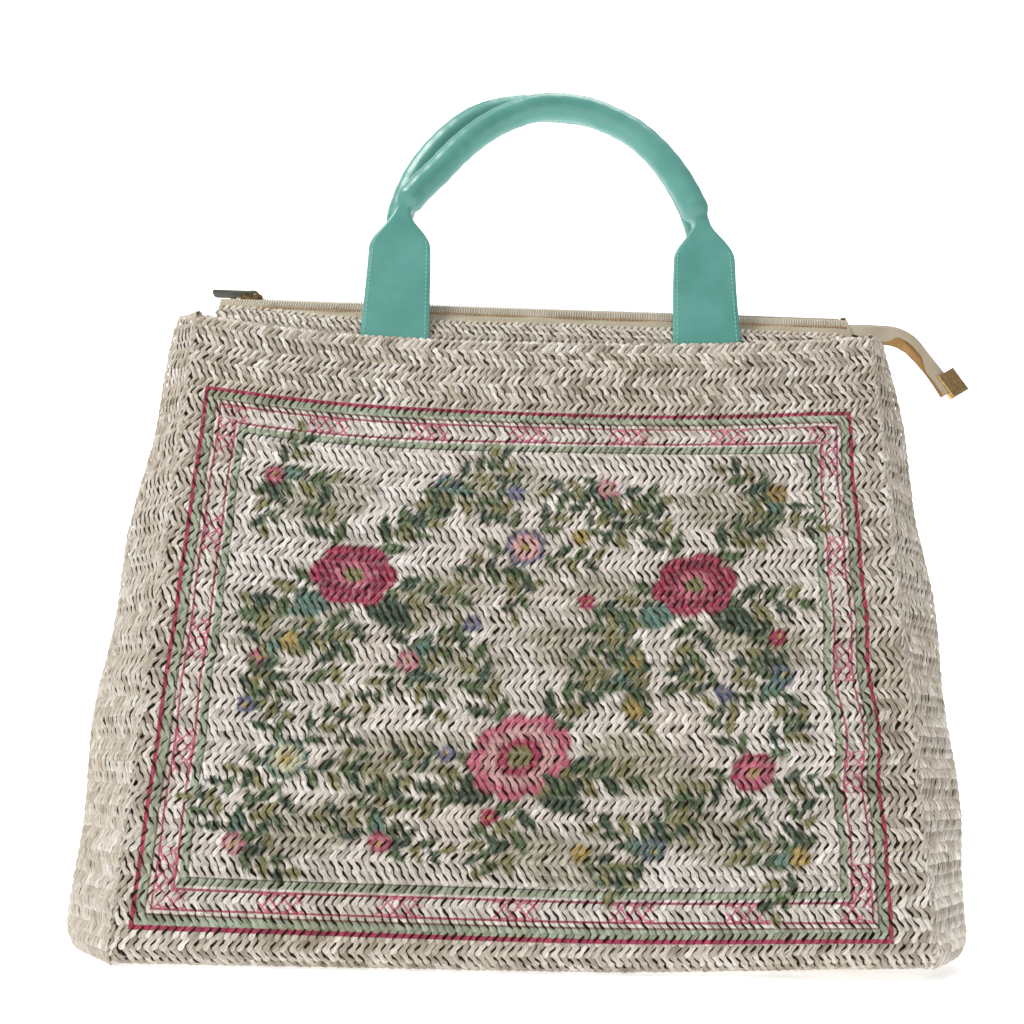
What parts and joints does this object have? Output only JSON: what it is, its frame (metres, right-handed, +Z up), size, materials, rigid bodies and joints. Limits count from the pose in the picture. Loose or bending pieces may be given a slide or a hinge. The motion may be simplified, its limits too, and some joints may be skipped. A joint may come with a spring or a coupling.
{
  "type": "tote bag",
  "caption": "Upright tote bag of woven straw with folded side gussets, rolled leather handles, a zip top with a capped tail and a bordered floral print.",
  "frame": {"origin": "middle of the base's underside, on the floor", "axes": "+X along the front to its right as seen from the front, +Y from front to back, +Z up"},
  "size_m": [0.5018, 0.1, 0.5233],
  "materials": {
    "straw": "woven straw, satin",
    "lining": "plain cloth, matt",
    "twill": "cotton twill",
    "coil": "nylon coil",
    "brass": "polished, a little aged",
    "gold_cap": "polished",
    "pull_leather": "smooth",
    "mint_leather": "smooth, semi-gloss",
    "crimson_ink": "print on straw",
    "green_ink": "print on straw",
    "pink_ink": "print on straw",
    "yellow_ink": "print on straw",
    "leaf_ink": "print on straw"
  },
  "bodies": {
    "bag": {"front_panel": "straw", "back_panel": "straw", "left_gusset": "straw", "right_gusset": "straw", "base_panel": "straw", "front_facing": "straw", "back_facing": "straw", "lining": "lining", "zip_tape_front": "twill", "zip_tape_back": "twill", "zip_coil_front": "coil", "zip_coil_back": "coil", "zip_stops": "brass", "zip_tail": "twill", "zip_end_cap": "gold_cap", "front_handle": "mint_leather", "back_handle": "mint_leather", "print_outer_line": "crimson_ink", "print_outer_band": "green_ink", "print_inner_band": "green_ink", "print_border_knots": "pink_ink", "print_blooms": "pink_ink", "print_bloom_centres": "yellow_ink", "print_leaves": "leaf_ink"},
    "slider": {"zip_slider": "brass"},
    "pull": {"zip_pull": "pull_leather"}
  },
  "joints": [
    {"name": "zip_slide", "type": "slide", "parent": "bag", "child": "slider", "axis": [1, 0, 0], "range_m": [0, 0.353]},
    {"name": "pull_swing", "type": "hinge", "parent": "slider", "child": "pull", "pos_m": [-0.1735, 0, 0.37334], "axis": [0, 1, 0], "range_deg": [0, 180]}
  ]
}
